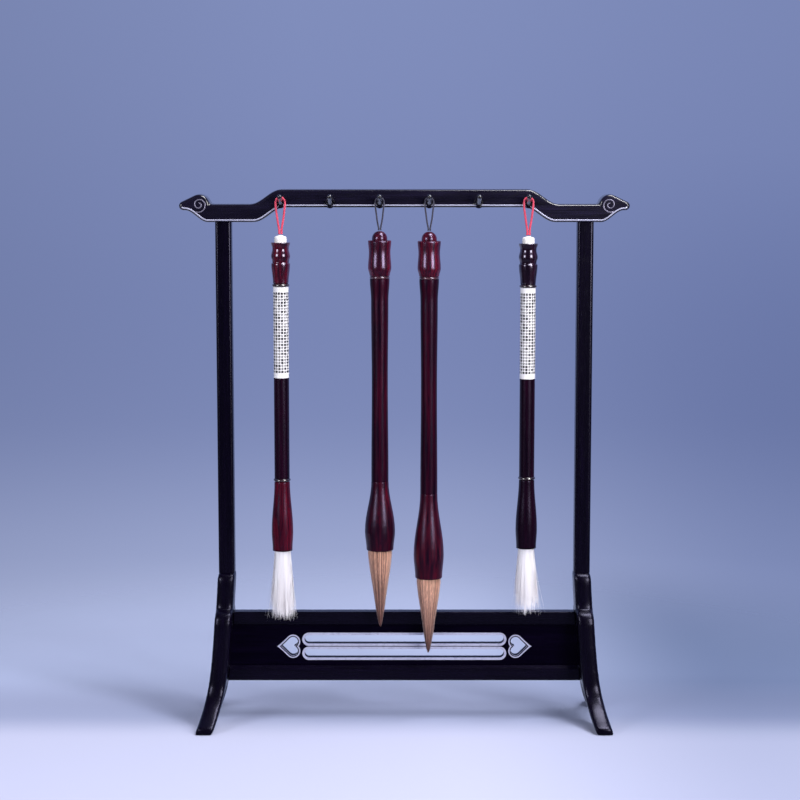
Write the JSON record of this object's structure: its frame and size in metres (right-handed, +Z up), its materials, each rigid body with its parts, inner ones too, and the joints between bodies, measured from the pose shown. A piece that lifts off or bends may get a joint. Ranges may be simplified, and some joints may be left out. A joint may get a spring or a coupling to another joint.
{
  "type": "chinese brush rack",
  "caption": "Black wooden table rack with cloud-head crossbar, pierced panel and flared feet; calligraphy brushes hang from its pegs by cord loops.",
  "frame": {"origin": "on the table under the middle of the rack", "axes": "+Z up, +X to the right along the crossbar seen from the front, -Y to the front where the pegs stand out"},
  "size_m": [0.306, 0.09, 0.37],
  "materials": {
    "ebony": "polished black-stained hardwood",
    "mahogany": "glossy red-brown lacquered hardwood",
    "ivory": "polished off-white sleeve and beads",
    "red_cord": "twisted rose-red silk cord",
    "grey_cord": "twisted dark grey silk cord",
    "pale_hair": "soft pale goat hair",
    "brown_hair": "springy brown hair drawn to a point"
  },
  "bodies": {
    "rack": {"crossbar": "ebony", "left_post": "ebony", "right_post": "ebony", "left_foot": "ebony", "right_foot": "ebony", "top_rail": "ebony", "bottom_rail": "ebony", "pierced_panel": "ebony", "peg_1": "ebony", "peg_2": "ebony", "peg_3": "ebony", "peg_4": "ebony", "peg_5": "ebony", "peg_6": "ebony"},
    "loop_1": {"brush_1_cord_loop": "red_cord"},
    "brush_1": {"brush_1_cord_knot": "red_cord", "brush_1_bead": "ivory", "brush_1_cap": "mahogany", "brush_1_cap_ring": "ebony", "brush_1_sleeve": "ivory", "brush_1_shaft": "ebony", "brush_1_ferrule_ring": "ebony", "brush_1_ferrule": "mahogany", "brush_1_bristles": "pale_hair"},
    "loop_2": {"brush_2_cord_loop": "grey_cord"},
    "brush_2": {"brush_2_cord_knot": "grey_cord", "brush_2_bead": "mahogany", "brush_2_cap": "mahogany", "brush_2_neck_ring": "mahogany", "brush_2_shaft": "mahogany", "brush_2_ferrule": "mahogany", "brush_2_bristles": "brown_hair"},
    "loop_3": {"brush_3_cord_loop": "grey_cord"},
    "brush_3": {"brush_3_cord_knot": "grey_cord", "brush_3_bead": "mahogany", "brush_3_cap": "mahogany", "brush_3_neck_ring": "mahogany", "brush_3_shaft": "mahogany", "brush_3_ferrule": "mahogany", "brush_3_bristles": "brown_hair"},
    "loop_4": {"brush_4_cord_loop": "red_cord"},
    "brush_4": {"brush_4_cord_knot": "red_cord", "brush_4_bead": "ivory", "brush_4_cap": "ebony", "brush_4_cap_ring": "ebony", "brush_4_sleeve": "ivory", "brush_4_shaft": "ebony", "brush_4_ferrule_ring": "ebony", "brush_4_ferrule": "ebony", "brush_4_bristles": "pale_hair"}
  },
  "joints": [
    {"name": "loop_1_sway", "type": "hinge", "parent": "rack", "child": "loop_1", "pos_m": [-0.084, -0.0122, 0.36162], "axis": [0, -1, 0], "range_deg": [-4, 4.5]},
    {"name": "brush_1_tip", "type": "hinge", "parent": "loop_1", "child": "brush_1", "pos_m": [-0.084, -0.0122, 0.33582], "axis": [-1, 0, 0], "range_deg": [0, 30]},
    {"name": "loop_2_sway", "type": "hinge", "parent": "rack", "child": "loop_2", "pos_m": [-0.0168, -0.0122, 0.36162], "axis": [0, -1, 0], "range_deg": [-4.5, 1.4]},
    {"name": "brush_2_tip", "type": "hinge", "parent": "loop_2", "child": "brush_2", "pos_m": [-0.0168, -0.0122, 0.33692], "axis": [-1, 0, 0], "range_deg": [0, 30]},
    {"name": "loop_3_sway", "type": "hinge", "parent": "rack", "child": "loop_3", "pos_m": [0.0168, -0.0122, 0.36162], "axis": [0, -1, 0], "range_deg": [-1.4, 4.5]},
    {"name": "brush_3_tip", "type": "hinge", "parent": "loop_3", "child": "brush_3", "pos_m": [0.0168, -0.0122, 0.33653], "axis": [-1, 0, 0], "range_deg": [0, 30]},
    {"name": "loop_4_sway", "type": "hinge", "parent": "rack", "child": "loop_4", "pos_m": [0.084, -0.0122, 0.36162], "axis": [0, -1, 0], "range_deg": [-4.5, 4]},
    {"name": "brush_4_tip", "type": "hinge", "parent": "loop_4", "child": "brush_4", "pos_m": [0.084, -0.0122, 0.33513], "axis": [-1, 0, 0], "range_deg": [0, 30]}
  ]
}
